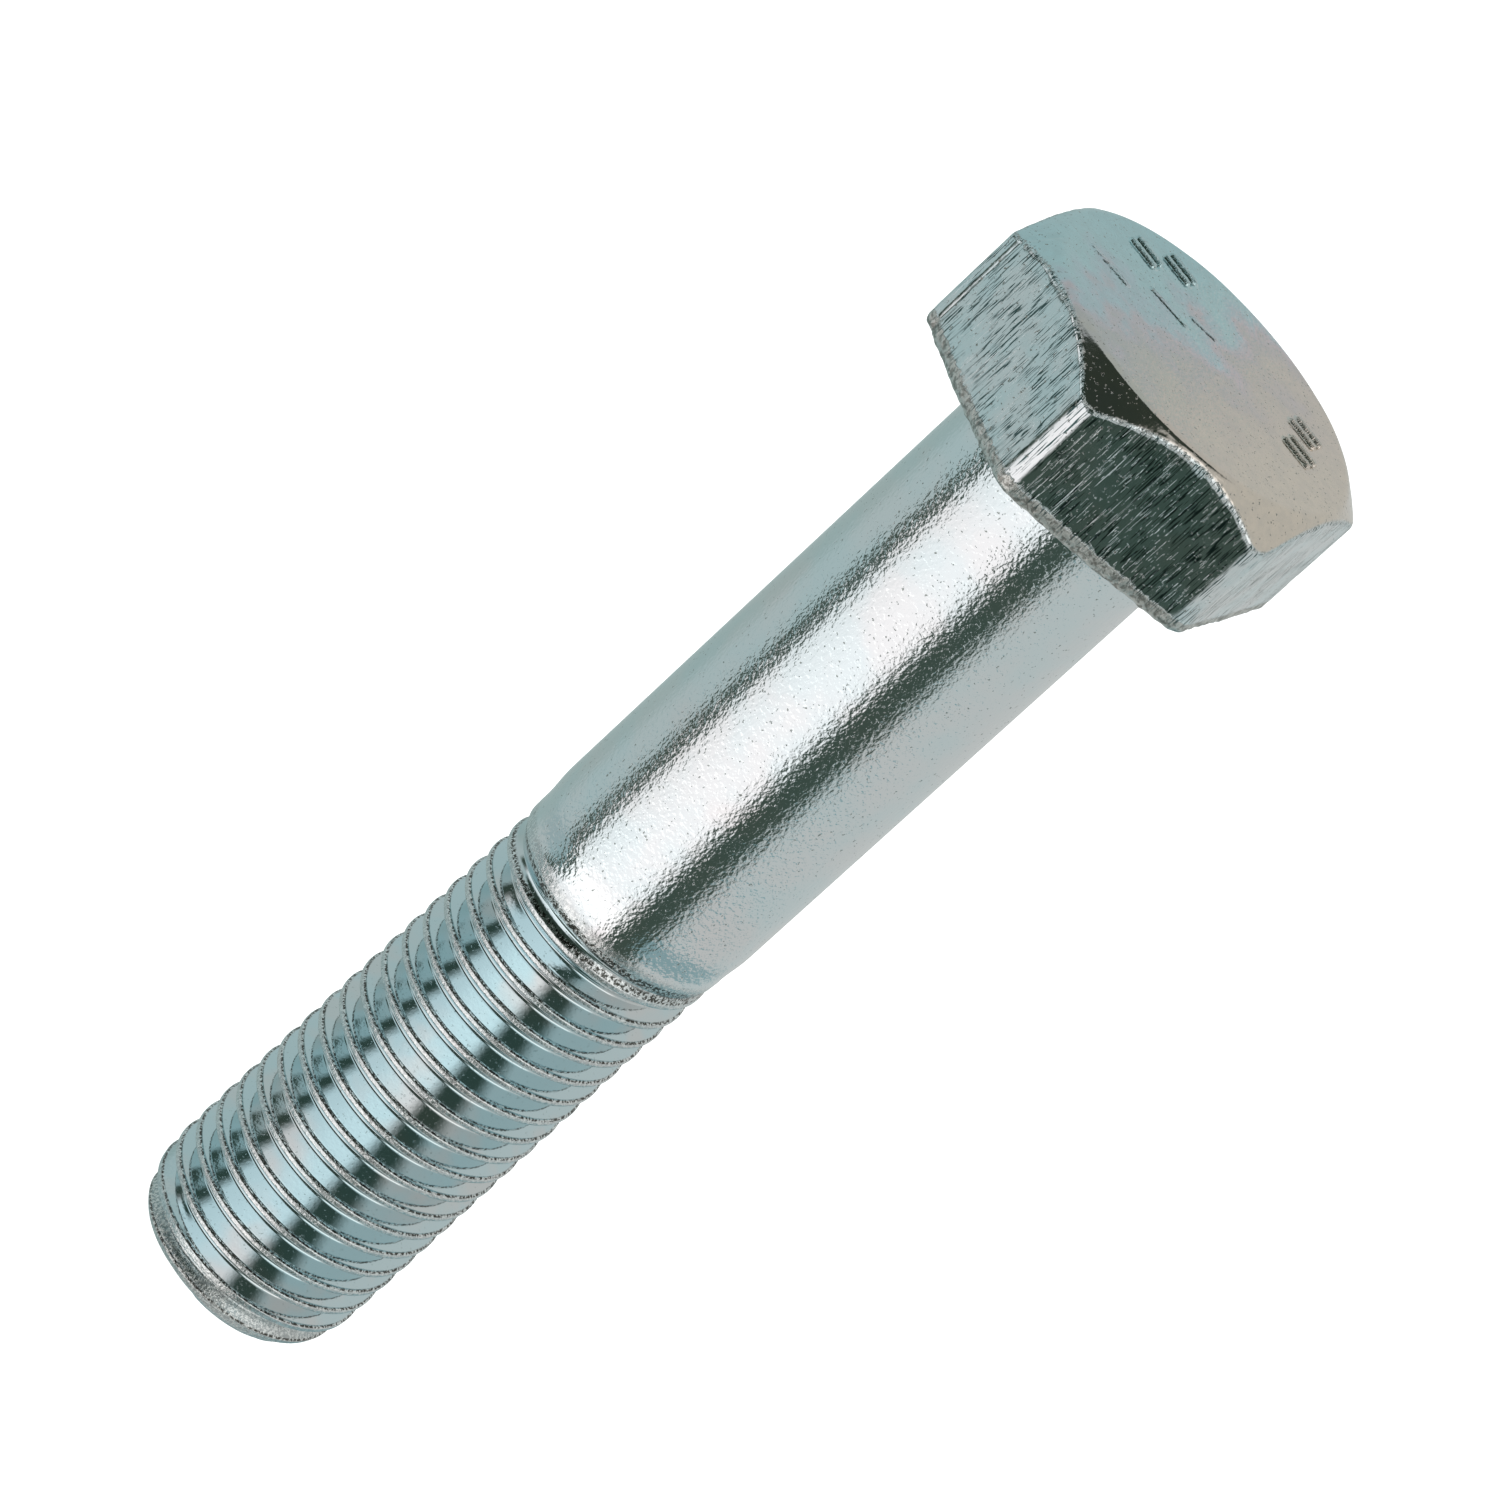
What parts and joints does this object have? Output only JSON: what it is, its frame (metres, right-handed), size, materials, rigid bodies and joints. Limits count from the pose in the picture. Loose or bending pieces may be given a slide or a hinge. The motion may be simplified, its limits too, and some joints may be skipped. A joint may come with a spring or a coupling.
{
  "type": "hex bolt",
  "caption": "Hexagon-head bolt with a plain shank, a part-length coarse right-hand thread and a rounded end, zinc-plated steel.",
  "frame": {"origin": "centre of the threaded end's flat face, on the bolt's axis; the bearing face under the head is 80 mm above it", "axes": "+Z along the bolt's axis from the threaded end towards the head; +X along the outward normal of one wrench flat"},
  "size_m": [0.024, 0.0272, 0.09],
  "materials": {
    "zinc_plated_steel": "bright zinc plate with a clear blue passivate and a faint iridescence, forging and handling marks on the head"
  },
  "bodies": {
    "root": {"hex_bolt": "zinc_plated_steel"}
  },
  "joints": []
}
